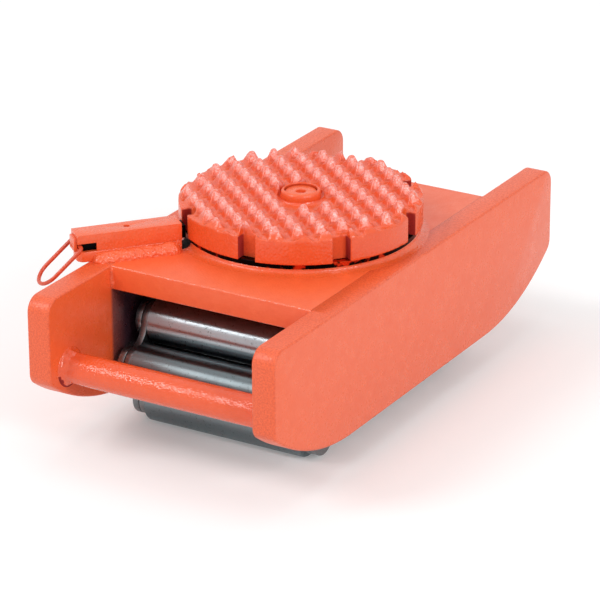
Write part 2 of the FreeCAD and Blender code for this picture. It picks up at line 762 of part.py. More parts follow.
def lock_welds(name):
    """Weld bead along each side of the lock's base, the back one shorter, where the side plate ends."""
    beads = []
    reach = value("lock_start") + value("lock_weld_start")
    for hand, inner, outer in (("front", "half_lock", "lock_weld_edge"), ("back", "-half_lock", "-lock_weld_edge")):
        bead = new_body(f"{name}_{hand}")
        section = new_sketch(bead, "section", "YZ_Plane")
        turn = "left" if hand == "front" else "right"
        draw_outline(
            section,
            [(inner, "0"), (outer, "0"), (inner, "lock_weld_leg")],
            {1: ("lock_weld_leg", turn, False)},
        )
        pad(bead, section, f"lock_weld_{hand}_length")
        bead.Placement = on_lock_line(reach, value("deck_height"))
        beads.append(bead)
    return group(name, beads)


def pull_ring(name):
    """Closed loop of wire that passes through the bolt, straddles the housing and hangs outside it."""
    leg = value("ring_leg")
    bend = value("ring_bend")
    length = value("ring_length")
    corner = Vector(bend, leg - bend, 0)
    crown = Vector(length - leg, 0, 0)
    slant = math.sqrt(0.5)
    path = Part.Wire([
        Part.LineSegment(Vector(0, 0, 0), Vector(0, leg - bend, 0)).toShape(),
        Part.Arc(
            Vector(0, leg - bend, 0),
            corner + Vector(-bend * slant, bend * slant, 0),
            Vector(bend, leg, 0),
        ).toShape(),
        Part.LineSegment(Vector(bend, leg, 0), Vector(length - leg, leg, 0)).toShape(),
        Part.Arc(
            Vector(length - leg, leg, 0),
            crown + Vector(leg * slant, leg * slant, 0),
            Vector(length, 0, 0),
        ).toShape(),
    ])
    corners = []
    for step in range(WIRE_SIDES + 1):
        angle = 2 * math.pi * step / WIRE_SIDES
        corners.append(Vector(math.cos(angle), 0, math.sin(angle)) * value("wire_radius"))
    section = Part.makePolygon(corners)
    half = path.makePipeShell([section], True, False)
    other = half.mirror(Vector(0, 0, 0), Vector(0, 1, 0))
    loop = doc.addObject("Part::Feature", name)
    loop.Shape = half.fuse(other).removeSplitter()
    hinge = on_lock_line(value("wire_reach"), value("deck_height") + value("bolt_floor") + value("wire_height"))
    droop = Placement(Vector(), Rotation(Vector(0, 1, 0), value("ring_droop_angle")))
    loop.Placement = hinge.multiply(droop)
    return loop


def build():
    """Make every sub-part and return them by node name."""
    nodes = [
        side_plate("side_plate_left", 1),
        side_plate("side_plate_right", -1),
        deck_plate("deck_plate"),
        track_plate("track_plate"),
        tow_bar("tow_bar_front", 1),
        tow_bar("tow_bar_rear", -1),
        on_deck(ring("base_ring", "washer_bore_radius", "base_ring_radius", "base_ring_thickness")),
        on_deck(
            ring("thrust_washer", "washer_bore_radius", "thrust_washer_radius", "thrust_washer_thickness"),
            value("base_ring_thickness"),
        ),
        pivot_screw("pivot_screw"),
        swivel_pad("swivel_pad"),
        lock_base("lock_base"),
        lock_housing("lock_housing"),
        lock_bolt("lock_bolt"),
        lock_stop_pin("lock_stop_pin"),
        lock_welds("lock_welds"),
        pull_ring("pull_ring"),
    ]
    stations = chain_stations()
    for number, station in enumerate(stations, start=1):
        nodes.append(roller(f"roller_{number:02d}", station))
    for number, start in enumerate(stations, start=1):
        end = stations[number % len(stations)]
        link_pair = outer_link_pair if number % 2 == 0 else inner_link_pair
        nodes.append(link_pair(f"link_pair_{number:02d}", start, end))
    return nodes


def check(nodes):
    """Stop on any failed object or any sub-part that isn't a sound solid."""
    doc.recompute()
    for item in doc.Objects:
        if "Invalid" in item.State or "Error" in item.State:
            raise RuntimeError(f"{item.Label} failed")
    for node in nodes:
        shape = node.Shape
        if shape.isNull() or not shape.isValid() or not shape.Solids:
            raise RuntimeError(f"{node.Label} is not a sound solid")


def write(nodes):
    """One file per sub-part."""
    os.makedirs("parts", exist_ok=True)
    for node in nodes:
        node.Shape.exportStep(f"parts/{node.Label}.step")


nodes = build()
check(nodes)
write(nodes)
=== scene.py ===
"""Machine skate: welded frame, endless roller chain, toothed swivel pad, swivel lock and pull ring."""

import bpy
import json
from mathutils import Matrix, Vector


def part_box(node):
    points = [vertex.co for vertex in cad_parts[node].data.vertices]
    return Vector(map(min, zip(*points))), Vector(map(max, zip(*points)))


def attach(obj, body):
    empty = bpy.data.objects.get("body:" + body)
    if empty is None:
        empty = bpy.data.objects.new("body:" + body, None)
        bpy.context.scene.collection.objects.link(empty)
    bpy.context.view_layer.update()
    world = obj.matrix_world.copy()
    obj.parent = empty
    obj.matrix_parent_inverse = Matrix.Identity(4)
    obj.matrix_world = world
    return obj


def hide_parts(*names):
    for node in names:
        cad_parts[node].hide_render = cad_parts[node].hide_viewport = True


bl_info = {
    "name": "Machine Skate",
    "version": (1, 0, 0),
    "blender": (4, 5, 0),
    "location": "3D View > Sidebar > Skate",
    "description": "Dresses the machine skate piece by piece and sets its studio",
    "category": "Object",
}

import json
import math

import bmesh
import bpy
from mathutils import Matrix, Vector, noise

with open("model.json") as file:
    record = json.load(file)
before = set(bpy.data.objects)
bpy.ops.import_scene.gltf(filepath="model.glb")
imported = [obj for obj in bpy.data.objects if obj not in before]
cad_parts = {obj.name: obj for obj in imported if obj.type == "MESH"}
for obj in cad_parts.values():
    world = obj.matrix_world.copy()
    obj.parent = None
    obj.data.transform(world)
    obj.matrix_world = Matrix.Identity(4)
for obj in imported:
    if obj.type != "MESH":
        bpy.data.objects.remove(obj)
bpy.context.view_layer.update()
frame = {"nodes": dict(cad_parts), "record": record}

MM = 0.001
SAME_PLACE = 0.001 * MM
UP = Vector((0.0, 0.0, 1.0))
SIDEWAYS = Vector((0.0, 1.0, 0.0))
CHAIN = range(1, 15)
NOTCHES = 8

# The lock lies on one line out from the swivel axis
SLIDE = next(joint for joint in frame["record"]["behaviour"]["joints"] if joint["name"] == "lock_slide")
ALONG = -Vector(SLIDE["axis"])
ACROSS = Vector((-ALONG.y, ALONG.x, 0.0))


def linear(code):
    """Linear RGB of an sRGB hex colour."""
    parts = [int(code[at:at + 2], 16) / 255 for at in (1, 3, 5)]
    return tuple(part / 12.92 if part <= 0.04045 else ((part + 0.055) / 1.055) ** 2.4 for part in parts)


def opaque(colour):
    return (*colour, 1.0)


# ---------------------------------------------------------------- sizes and colours

def length(name, text, default_mm):
    return bpy.props.FloatProperty(name=name, description=text, default=default_mm * MM, min=0.0, precision=5,
                                   subtype="DISTANCE", unit="LENGTH")


def colour(name, text, code):
    return bpy.props.FloatVectorProperty(name=name, description=text, subtype="COLOR", size=3, min=0.0, max=1.0,
                                         default=linear(code))


class SkateSizes(bpy.types.PropertyGroup):
    """Sizes of the dressing"""
    plate_round: length("Plate edge", "Rounding of the cut plate edges under the paint", 1.1)
    corner_bead: length("Corner weld", "Size of the weld lumps in the deck's corners", 2.0)
    collar_leg: length("Collar leg", "Leg of the tow bar's weld collars", 2.4)
    collar_lump: length("Collar lumps", "Height of the lumps on the tow bar's weld collars", 0.9)
    roller_chamfer: length("Roller chamfer", "Rounded corner at the roller ends", 0.8)
    roller_bore: length("Roller bore", "Radius of the bore through a roller", 4.6)
    link_eye: length("Link eye", "Radius of a link plate's eye", 9.5)
    link_thickness: length("Link thickness", "Thickness of the link plates", 3.6)
    link_waist: length("Link waist", "Half width of a link plate at its waist", 5.5)
    link_edge: length("Link edge", "Rounding of the stamped link edges", 0.35)
    pin_radius: length("Chain pin", "Radius of the chain's pins", 4.5)
    pin_stand: length("Chain pin end", "How far the pins stand out of the outer links", 0.6)
    rivet_round: length("Rivet head", "Rounding of the riveted pin ends", 0.8)
    track_round: length("Track edge", "Rounding of the track plate's edges", 0.8)
    pad_voxel: length("Pad grain", "Voxel of the cast pad", 0.71)
    tooth_height: length("Tooth height", "Height of the pad's teeth over their valleys", 6.1)
    tooth_point: bpy.props.FloatProperty(name="Tooth point", description="How far the teeth are worn to points",
                                         default=1.2, min=1.0)
    hub_recess: length("Hub recess", "Width of the recess for the screw's head", 17.0)
    hub_width: length("Hub", "Width of the hub over its rounded rim", 20.4)
    hub_clear: length("Hub clearing", "Width of the ground round the hub that has no teeth", 23.6)
    hub_drop: length("Hub drop", "How far the hub's crown lies under the tooth tips", 1.5)
    hub_depth: length("Hub depth", "Height of the hub's wall under its crown", 7.0)
    screw_round: length("Screw edge", "Rounding of the pivot screw's edges", 0.5)
    ring_foot: length("Ring foot", "Paint fillet at the foot of the base ring", 4.5)
    ring_bore: length("Ring bore", "Radius of the hole in the base ring", 5.25)
    # The dark strip on the base ring behind the bolt is painted shade of the gap there
    ring_gap_shade: length("Ring grease", "Half width of the greasy strip on the base ring behind the bolt", 5.0)
    washer_round: length("Washer edge", "Rounding of the thrust washer's edges", 0.2)
    lock_round: length("Lock edge", "Rounding of the lock's edges", 0.45)
    bolt_paint: length("Bolt paint", "Painted length at the bolt's outer end", 4.0)
    stop_sink: length("Stop pin sink", "Depth of the stop pin's end under the housing's top", 0.6)
    stop_round: length("Stop pin edge", "Rounding of the stop pin's edges", 0.3)
    bead_step: length("Weld step", "Spacing of the ripples along the weld beads", 1.7)
    bead_voxel: length("Weld grain", "Voxel of the weld beads", 0.4)
    bead_lump: length("Weld lumps", "Height of the lumps on the weld beads", 0.4)
    wire_voxel: length("Wire grain", "Voxel of the bent wire", 0.3)
    wire_thin: length("Wire thinning", "Depth by which the bent wire is drawn thinner", 0.2)


class SkateColours(bpy.types.PropertyGroup):
    """Colours of the finishes"""
    enamel: colour("Enamel", "Orange-red enamel", "#F26534")
    enamel_deep: colour("Enamel, deep", "Enamel where it lies thicker", "#E75424")
    enamel_edge: colour("Enamel, thin", "Enamel that has run thin over cut faces, the wire and the stop pin", "#C8401E")
    # Pale specks: partly rubbed paint and partly painted highlight on the tooth tips and the deck's edges, and pale
    # specks on the weld beads
    pale_tip_and_highlight: colour("Tooth tips", "Enamel rubbed pale on the tooth tips", "#F3A096")
    # Painted shade on the side walls of the pad's notches and in the creases under the tow bar's collars
    notch: colour("Notches", "Greasy enamel in the pad's rim notches and under the tow bar's welds", "#9A1A0E")
    # Painted shade under the deck, between the side plates: the second colour at the deck's ends, the first further in
    under_deck_shade: colour("Grime", "Grease and dust on the inside, round the chain", "#3D2731")
    under_deck_shade_edge: colour("Grime, thin", "Thin grease where the grime begins", "#84443D")
    roller: colour("Roller steel", "Turned steel of the rollers", "#BCC5CA")
    # Darker copy of the roller steel for the rollers under the track: painted shade in their reflections
    roller_shaded: colour("Roller steel, oily", "Rollers on the floor and at the noses, dark with oil", "#7E8A8E")
    roller_spot: colour("Roller spots", "Oil spots on the rollers", "#45484A")
    link: colour("Link steel", "Stamped steel of the link plates", "#8A8E90")
    track: colour("Track steel", "Plain steel of the track plate", "#77797B")
    # Near-black greased steel of the washer and bolt; it also stands as painted shade in the gap under the pad, in the
    # bolt's slot and on the ring behind the bolt
    grease_and_gap_shade: colour("Grease", "Dark grease under the pad", "#0E0E10")
    floor: colour("Floor", "Pale studio floor", "#EFEFEF")


def sizes():
    return bpy.context.scene.skate_sizes


def colours():
    return bpy.context.scene.skate_colours


# ---------------------------------------------------------------- finishes

# Sockets of a Mix node that mixes colours
SHARE, FIRST, SECOND, MIXED = 0, 6, 7, 2
# Range that nearly all of a noise texture lies in
NOISE_LOW, NOISE_HIGH = 0.3, 0.7


def add_node(tree, kind, inputs=None, **settings):
    """One node of a tree with its settings, and each input either set or linked."""
    node = tree.nodes.new("ShaderNode" + kind)
    for name, setting in settings.items():
        setattr(node, name, setting)
    for name, source in (inputs or {}).items():
        if isinstance(source, bpy.types.NodeSocket):
            tree.links.new(source, node.inputs[name])
        else:
            node.inputs[name].default_value = source
    return node


def new_finish(name):
    """An empty node material with its output and the object's own coordinates."""
    material = bpy.data.materials.new(name)
    material.use_nodes = True
    material.node_tree.nodes.clear()
    output = add_node(material.node_tree, "OutputMaterial")
    place = add_node(material.node_tree, "TexCoord").outputs["Object"]
    return material, material.node_tree, output, place


def per_metre(size_mm):
    """Noise scale for spots of a real size in millimetres."""
    return 1.0 / (size_mm * MM)


def overlap(tree, limits, share=None, line="LINEAR"):
    """Share that is 1 where every measure is past its limits, each from 0 at its first limit to 1 at its second."""
    for measure, none, full in limits:
        past = add_node(tree, "MapRange", {"Value": measure, "From Min": none, "From Max": full},
                        interpolation_type=line).outputs[0]
        if share is None:
            share = past
        else:
            share = add_node(tree, "Math", {0: share, 1: past}, operation="MULTIPLY").outputs[0]
    return share


def enamel_finish(name, tones=("enamel", "enamel_deep"), grain_mm=6.0, grain_detail=5.0, grain_share=0.45,
                  peel_mm=1.1, peel_depth_mm=0.2, gloss=(0.22, 0.32), tips=None, speckle=0.0, deck_shade=False):
    """Sprayed enamel on steel: orange-red in two close tones, with a satin gloss and orange peel of about a
    millimetre that breaks its highlights into speckles. On the pad the tooth tips are paled, partly as rubbed paint and
    partly as painted highlight, and the notches are matt with side walls darkened as painted shade; under the deck,
    between the side plates, it is darkened as painted shade."""
    found = bpy.data.materials.get(name)
    if found:
        return found
    material, tree, output, place = new_finish(name)
    grain = add_node(tree, "TexNoise", {"Vector": place, "Scale": per_metre(grain_mm), "Detail": grain_detail,
                                        "Roughness": 0.7}).outputs["Fac"]
    blend = add_node(tree, "MapRange", {"Value": grain, "From Min": 0.34, "From Max": 0.66, "To Max": grain_share})
    main, other = (opaque(getattr(colours(), tone)) for tone in tones)
    paint = add_node(tree, "Mix", {SHARE: blend.outputs[0], FIRST: main, SECOND: other},
                     data_type="RGBA").outputs[MIXED]
    roughness = add_node(tree, "MapRange", {"Value": grain, "From Min": NOISE_LOW, "From Max": NOISE_HIGH,
                                            "To Min": gloss[0], "To Max": gloss[1]}).outputs[0]
    if tips or speckle:
        paint = add_node(tree, "Mix", {SHARE: pale_and_highlight_share(tree, place, tips, speckle), FIRST: paint,
                                       SECOND: opaque(colours().pale_tip_and_highlight)}, data_type="RGBA").outputs[MIXED]
    if tips:
        walls, notches = notch_shares(tree, place)
        # The notches' side walls are darkened as painted shade
        paint = add_node(tree, "Mix", {SHARE: walls, FIRST: paint, SECOND: opaque(colours().notch)},
                         data_type="RGBA").outputs[MIXED]
        roughness = add_node(tree, "Math", {0: roughness, 1: notches}, operation="MAXIMUM").outputs[0]
    # Under the deck, between the side plates, the enamel is darkened as painted shade, deeper further in
    if deck_shade:
        under_deck_share, depth = under_deck_shade_shares(tree, place)
        under_deck_shade = add_node(tree, "Mix", {SHARE: depth, FIRST: opaque(colours().under_deck_shade_edge),
                                       SECOND: opaque(colours().under_deck_shade)}, data_type="RGBA").outputs[MIXED]
        paint = add_node(tree, "Mix", {SHARE: under_deck_share, FIRST: paint, SECOND: under_deck_shade},
                         data_type="RGBA").outputs[MIXED]
    peel = add_node(tree, "TexNoise", {"Vector": place, "Scale": per_metre(peel_mm), "Detail": 0.5})
    bump = add_node(tree, "Bump", {"Height": peel.outputs["Fac"], "Strength": 1.0, "Distance": peel_depth_mm * MM})
    shader = add_node(tree, "BsdfPrincipled", {"Base Color": paint, "Roughness": roughness, "IOR": 1.57,
                                               "Normal": bump.outputs["Normal"]})
    tree.links.new(shader.outputs[0], output.inputs["Surface"])
    return material


def thin_enamel_and_recess_shade():
    """Enamel that has run thin over the wire and the stop pin: darker than on the plates. On the walls of the
    hub's recess the same darker coat is painted shade.
    """
    return enamel_finish("sprayed_enamel_thin_and_recess_shade", tones=("enamel_edge", "enamel_deep"))


def pale_and_highlight_share(tree, place, tips, speckle):
    """Share of the enamel that is paled, partly as rubbed paint and partly as painted highlight: the tooth tips
    between two heights, or else scattered specks.
    """
    grit = add_node(tree, "TexNoise", {"Vector": place, "Scale": per_metre(0.8), "Detail": 2.0}).outputs["Fac"]
    if tips:
        height = add_node(tree, "SeparateXYZ", {"Vector": place}).outputs["Z"]
        specks = add_node(tree, "MapRange", {"Value": grit, "From Min": 0.42, "From Max": 0.56, "To Min": 0.15})
        return overlap(tree, [(height, *tips)], share=specks.outputs[0])
    start = 0.72 - 0.25 * speckle
    return add_node(tree, "MapRange", {"Value": grit, "From Min": start, "From Max": start + 0.12,
                                       "To Max": speckle}).outputs[0]


def under_deck_shade_shares(tree, place):
    """Share of painted shade: 1 on the faces that close in the chain, under the deck and between the side plates, 0
    elsewhere; and how far in they lie, from 0 at the deck's ends to 1, which darkens the shade further."""
    low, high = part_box("deck_plate")
    end, side, under = high[0], high[1], low[2]
    axes = add_node(tree, "SeparateXYZ", {"Vector": place})
    along = add_node(tree, "Math", {0: axes.outputs["X"]}, operation="ABSOLUTE").outputs[0]
    across = add_node(tree, "Math", {0: axes.outputs["Y"]}, operation="ABSOLUTE").outputs[0]
    share = overlap(tree, [(along, end + 1.5 * MM, end - 1.5 * MM)], line="SMOOTHSTEP")
    share = overlap(tree, [(across, side + 1.0 * MM, side + 0.2 * MM),
                           (axes.outputs["Z"], under + 0.8 * MM, under - 0.5 * MM)], share=share)
    depth = overlap(tree, [(along, end - 1.0 * MM, end - 12.0 * MM)])
    return share, depth


def notch_shares(tree, place):
    """1 on the side walls of the pad's rim notches, which are darkened as painted shade, 0 elsewhere; and the same for
    all the walls of the notches, where the spray left a dry coat."""
    low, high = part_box("swivel_pad")
    rim = (high[0] - low[0]) / 2
    valley = high[2] - sizes().tooth_height
    flat = add_node(tree, "Mapping", {"Vector": place, "Rotation": (0.0, 0.0, -math.atan2(ALONG.y, ALONG.x)),
                                      "Scale": (1.0, 1.0, 0.0)}).outputs[0]
    axes = add_node(tree, "SeparateXYZ", {"Vector": flat})
    angle = add_node(tree, "Math", {0: axes.outputs["Y"], 1: axes.outputs["X"]}, operation="ARCTAN2")
    turns = add_node(tree, "Math", {0: angle.outputs[0], 1: NOTCHES}, operation="MULTIPLY")
    wave = add_node(tree, "Math", {0: turns.outputs[0]}, operation="COSINE").outputs[0]
    reach = add_node(tree, "VectorMath", {0: flat}, operation="LENGTH").outputs["Value"]
    height = add_node(tree, "SeparateXYZ", {"Vector": place}).outputs["Z"]

    def swing(offset_mm):
        """The wave's value at a distance along the rim from a notch's middle."""
        return math.cos(NOTCHES * offset_mm * MM / rim)

    # Along the rim, the 9 mm notches reach 4.9 mm from their middle at the back, and their side walls start at 4.5 mm
    notches = overlap(tree, [(wave, swing(5.3), swing(5.1)), (reach, rim - 6.0 * MM, rim - 5.7 * MM),
                             (reach, rim - 0.3 * MM, rim - 0.5 * MM), (height, valley, valley - 1.0 * MM)])
    walls = overlap(tree, [(wave, swing(3.8), swing(4.4))], share=notches)
    return walls, notches


def turned_steel(name, tint):
    """Hardened steel roller off the lathe: its fine rings spread each highlight along the barrel, and the oil on it
    leaves small dark spots. The rings are drawn 1.6 mm apart, coarser than the lathe's feed, so that they show."""
    material, tree, output, place = new_finish(name)
    round_barrel = add_node(tree, "Mapping", {"Vector": place, "Scale": (0.06, 1.0, 0.06)}).outputs[0]
    rings = add_node(tree, "TexNoise", {"Vector": round_barrel, "Scale": per_metre(1.6), "Detail": 2.0}).outputs["Fac"]
    spots = add_node(tree, "TexNoise", {"Vector": place, "Scale": per_metre(1.3), "Detail": 3.0, "Roughness": 0.6})
    dark = add_node(tree, "MapRange", {"Value": spots.outputs["Fac"], "From Min": 0.60, "From Max": 0.72,
                                       "To Max": 0.8})
    steel = add_node(tree, "Mix", {SHARE: dark.outputs[0], FIRST: opaque(tint),
                                   SECOND: opaque(colours().roller_spot)}, data_type="RGBA")
    gloss = add_node(tree, "MapRange", {"Value": rings, "From Min": NOISE_LOW, "From Max": NOISE_HIGH,
                                        "To Min": 0.36, "To Max": 0.42})
    bump = add_node(tree, "Bump", {"Height": rings, "Strength": 0.1, "Distance": 0.02 * MM})
    tangent = add_node(tree, "Tangent", direction_type="RADIAL", axis="Y")
    shader = add_node(tree, "BsdfPrincipled", {"Base Color": steel.outputs[MIXED], "Metallic": 1.0,
                                               "Roughness": gloss.outputs[0], "Normal": bump.outputs["Normal"],
                                               "Anisotropic": 0.97, "Anisotropic Rotation": 0.25,
                                               "Tangent": tangent.outputs[0]})
    tree.links.new(shader.outputs[0], output.inputs["Surface"])
    return material


def plain_steel(name, tint, grain_mm, gloss, fleck=None, metallic=1.0):
    """Oiled bare steel, rolled or stamped: grey metal with cloudy stains and a fine scuffed grain; under the pad a
    few flecks of overspray show on the dark washer, and where it is laid as matt painted shade no metal shows."""
    found = bpy.data.materials.get(name)
    if found:
        return found
    material, tree, output, place = new_finish(name)
    cloud = add_node(tree, "TexNoise", {"Vector": place, "Scale": per_metre(6), "Detail": 4.0})
    stain = add_node(tree, "MapRange", {"Value": cloud.outputs["Fac"], "From Min": 0.35, "From Max": 0.75,
                                        "To Max": 0.55})
    surface = add_node(tree, "Mix", {SHARE: stain.outputs[0], FIRST: opaque(tint),
                                     SECOND: opaque([part * 0.35 for part in tint])},
                       data_type="RGBA").outputs[MIXED]
    if fleck:
        bits = add_node(tree, "TexNoise", {"Vector": place, "Scale": per_metre(7), "Detail": 3.0})
        bright = add_node(tree, "MapRange", {"Value": bits.outputs["Fac"], "From Min": 0.54, "From Max": 0.62})
        surface = add_node(tree, "Mix", {SHARE: bright.outputs[0], FIRST: surface, SECOND: opaque(fleck)},
                           data_type="RGBA").outputs[MIXED]
    grain = add_node(tree, "TexNoise", {"Vector": place, "Scale": per_metre(grain_mm), "Detail": 2.0}).outputs["Fac"]
    roughness = add_node(tree, "MapRange", {"Value": grain, "From Min": NOISE_LOW, "From Max": NOISE_HIGH,
                                            "To Min": gloss[0], "To Max": gloss[1]})
    bump = add_node(tree, "Bump", {"Height": grain, "Strength": 0.3, "Distance": 0.05 * MM})
    shader = add_node(tree, "BsdfPrincipled", {"Base Color": surface, "Metallic": metallic,
                                               "Roughness": roughness.outputs[0], "Normal": bump.outputs["Normal"]})
    tree.links.new(shader.outputs[0], output.inputs["Surface"])
    return material


def matt_painted_shade(name, tint):
    """A thick matt dark coat, in which no metal shows, laid on as painted shade."""
    return plain_steel(name, tint, grain_mm=1.0, gloss=(0.8, 0.95), metallic=0.0)


def seen_white(tree):
    """1 where a ray is seen directly, mirrored or through glass, and 0 where it only lights."""
    path = add_node(tree, "LightPath")
    mirrored = add_node(tree, "Math", {0: path.outputs["Is Camera Ray"], 1: path.outputs["Is Glossy Ray"]},
                        operation="MAXIMUM")
    return add_node(tree, "Math", {0: mirrored.outputs[0], 1: path.outputs["Is Transmission Ray"]},
                    operation="MAXIMUM").outputs[0]


def paper_floor():
    """Seamless studio paper: matt and near white, so it keeps the soft shadow and otherwise reads as white."""
    material, tree, output, place = new_finish("studio_paper")
    fibre = add_node(tree, "TexNoise", {"Vector": place, "Scale": per_metre(300), "Detail": 2.0})
    tone = add_node(tree, "MapRange", {"Value": fibre.outputs["Fac"], "To Min": 0.97, "To Max": 1.0})
    sheet = add_node(tree, "Mix", {SHARE: tone.outputs[0], FIRST: opaque([part * 0.97 for part in colours().floor]),
                                   SECOND: opaque(colours().floor)}, data_type="RGBA")
    matt = add_node(tree, "BsdfDiffuse", {"Color": sheet.outputs[MIXED]})
    lift = add_node(tree, "Math", {0: seen_white(tree), 1: FLOOR_GLOW}, operation="MULTIPLY")
    glow = add_node(tree, "Emission", {"Color": opaque(colours().floor), "Strength": lift.outputs[0]})
    both = add_node(tree, "AddShader", {0: matt.outputs[0], 1: glow.outputs[0]})
    tree.links.new(both.outputs[0], output.inputs["Surface"])
    return material


# ---------------------------------------------------------------- shapes

def cad_shape(node):
    """A merged copy of a node's mesh with its flat faces made whole."""
    bm = bmesh.new()
    bm.from_mesh(frame["nodes"][node].data)
    bmesh.ops.remove_doubles(bm, verts=bm.verts, dist=SAME_PLACE)
    bmesh.ops.dissolve_limit(bm, angle_limit=math.radians(0.5), verts=bm.verts, edges=bm.edges)
    return bm


def round_edges(bm, width, segments=3, angle=35.0, spare=None):
    """Rounds every edge that is sharper than the angle, apart from those a test spares, and gives the new faces."""
    sharp = [edge for edge in bm.edges if edge.is_manifold and edge.calc_face_angle() > math.radians(angle)]
    if spare:
        sharp = [edge for edge in sharp if not spare(edge)]
    return bmesh.ops.bevel(bm, geom=sharp, offset=width, offset_type="OFFSET", segments=segments, profile=0.5,
                           affect="EDGES", material=-1, clamp_overlap=True)["faces"]


def turned(profile, centre, axis, steps=96):
    """A solid of revolution: profile points (radius, reach along the axis) spun a full turn."""
    bm = bmesh.new()
    out = axis.orthogonal().normalized()
    points = [bm.verts.new(Vector(centre) + out * radius + axis * reach) for radius, reach in profile]
    edges = [bm.edges.new(pair) for pair in zip(points, points[1:])]
    bmesh.ops.spin(bm, geom=points + edges, cent=centre, axis=axis, angle=math.tau, steps=steps, use_merge=True)
    bmesh.ops.remove_doubles(bm, verts=bm.verts, dist=SAME_PLACE)
    bmesh.ops.recalc_face_normals(bm, faces=bm.faces)
    return bm


def cast(bm, voxel, passes=0):
    """The shape as one closed skin of even grain, softened by a number of passes."""
    mesh = bpy.data.meshes.new("cast")
    bm.to_mesh(mesh)
    bm.free()
    rough = bpy.data.objects.new("cast", mesh)
    bpy.context.collection.objects.link(rough)
    grain = rough.modifiers.new("grain", "REMESH")
    grain.mode = "VOXEL"
    grain.voxel_size = voxel
    if passes:
        soft = rough.modifiers.new("soft", "SMOOTH")
        soft.factor = 0.5
        soft.iterations = passes
    made = bpy.data.meshes.new_from_object(rough.evaluated_get(bpy.context.evaluated_depsgraph_get()))
    bpy.data.objects.remove(rough)
    bpy.data.meshes.remove(mesh)
    skin = bmesh.new()
    skin.from_mesh(made)
    bpy.data.meshes.remove(made)
    return skin


def lump(bm, height, size_mm, where=None):
    """Pushes the skin in and out by noise, more in than out, where a test lets it."""
    sunk = 0.35
    bm.normal_update()
    for vert in bm.verts:
        if where is None or where(vert.co):
            vert.co += vert.normal * height * (noise.noise(vert.co / (size_mm * MM)) - sunk)


def dress(bm, name, finish, body, nodes=(), smooth=35.0, second=None):
    """Makes the piece's object, which rides its body and stands for its nodes."""
    mesh = bpy.data.meshes.new(name)
    bm.to_mesh(mesh)
    bm.free()
    mesh.shade_smooth()
    mesh.set_sharp_from_angle(angle=math.radians(smooth))
    mesh.materials.append(finish)
    if second:
        mesh.materials.append(second)
    piece = bpy.data.objects.new(name, mesh)
    bpy.context.collection.objects.link(piece)
    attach(piece, body)
    if nodes:
        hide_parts(*nodes)
    return piece


def node_middle(node):
    low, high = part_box(node)
    return (Vector(low) + Vector(high)) / 2


# ---------------------------------------------------------------- pieces

# Weld lumps down a corner of the deck: how deep in its thickness, and how large
CORNER_LUMPS = ((0.1, 0.9), (0.24, 1.0), (0.38, 0.85), (0.52, 1.0), (0.66, 1.1), (0.8, 0.9))


class SKATE_OT_frame_plates(bpy.types.Operator):
    """Side plates and deck, flame-cut and painted, with softened edges"""
    bl_idname = "skate.frame_plates"
    bl_label = "Frame plates"

    def execute(self, context):
        # The side plates and the deck are darkened under the deck as painted shade
        sprayed = enamel_finish("sprayed_enamel_with_painted_shade", peel_depth_mm=0.12, gloss=(0.24, 0.34), deck_shade=True)
        # The deck's coat is duller than the side plates'
        duller = enamel_finish("sprayed_enamel_on_deck", peel_depth_mm=0.12, gloss=(0.36, 0.46), deck_shade=True)
        # Over the rough flame cut the coat looks grainy
        cut = enamel_finish("sprayed_enamel_on_cut_faces", tones=("enamel", "enamel_edge"), grain_mm=0.9,
                            grain_detail=1.0, grain_share=0.55, peel_mm=0.9, gloss=(0.34, 0.46))
        # The deck's edges are rubbed pale in specks, which also stand as a painted highlight along the front edge
        chipped_and_glinting = enamel_finish("sprayed_enamel_rubbed_edge_and_highlight", speckle=0.55)
        low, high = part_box("deck_plate")
        for node, paint, edge_paint in (("side_plate_left", sprayed, cut), ("side_plate_right", sprayed, cut),
                                        ("deck_plate", duller, chipped_and_glinting)):
            bm = cad_shape(node)
            # A cut at each end of the deck, so that the seam's edges end there
            for end in (low[0], high[0]):
                bmesh.ops.bisect_plane(bm, geom=bm.verts[:] + bm.edges[:] + bm.faces[:], dist=SAME_PLACE,
                                       plane_co=(end, 0, 0), plane_no=(1, 0, 0))
            edges = round_edges(bm, sizes().plate_round, spare=self.ground_seam)
            # All the side plates' faces are cut, apart from the two rolled sides
            if edge_paint is cut:
                edges += [face for face in bm.faces if abs(face.normal.y) < 0.5]
            for face in edges:
                face.material_index = 1
            dress(bm, node + "_dressed", paint, "frame", [node], second=edge_paint)
        self.corner_welds(cut)
        return {"FINISHED"}

    def ground_seam(self, edge):
        """Whether an edge lies where the deck is welded to a side plate and ground flush."""
        low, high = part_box("deck_plate")
        slack = 0.01 * MM
        first, last = (vert.co for vert in edge.verts)
        return first.y * last.y > 0 and all(abs(end.x) < high[0] + slack and abs(abs(end.y) - high[1]) < slack
                                            and end.z > low[2] - slack for end in (first, last))

    def corner_welds(self, paint):
        """Short weld lumps where the deck's ends meet the side plates."""
        low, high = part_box("deck_plate")
        size = sizes().corner_bead
        bm = bmesh.new()
        for end, edge in ((-1, low[0]), (1, high[0])):
            for wall in (low[1], high[1]):
                for step, grow in CORNER_LUMPS:
                    spot = Vector((edge - end * 0.25 * size, wall, high[2] - step * (high[2] - low[2]) - 0.4 * size))
                    bmesh.ops.create_icosphere(bm, subdivisions=3, radius=size * grow,
                                               matrix=Matrix.Translation(spot))
        beads = cast(bm, sizes().bead_voxel, passes=3)
        lump(beads, sizes().bead_lump, size_mm=1.8)
        dress(beads, "deck_corner_welds", paint, "frame", smooth=80.0)


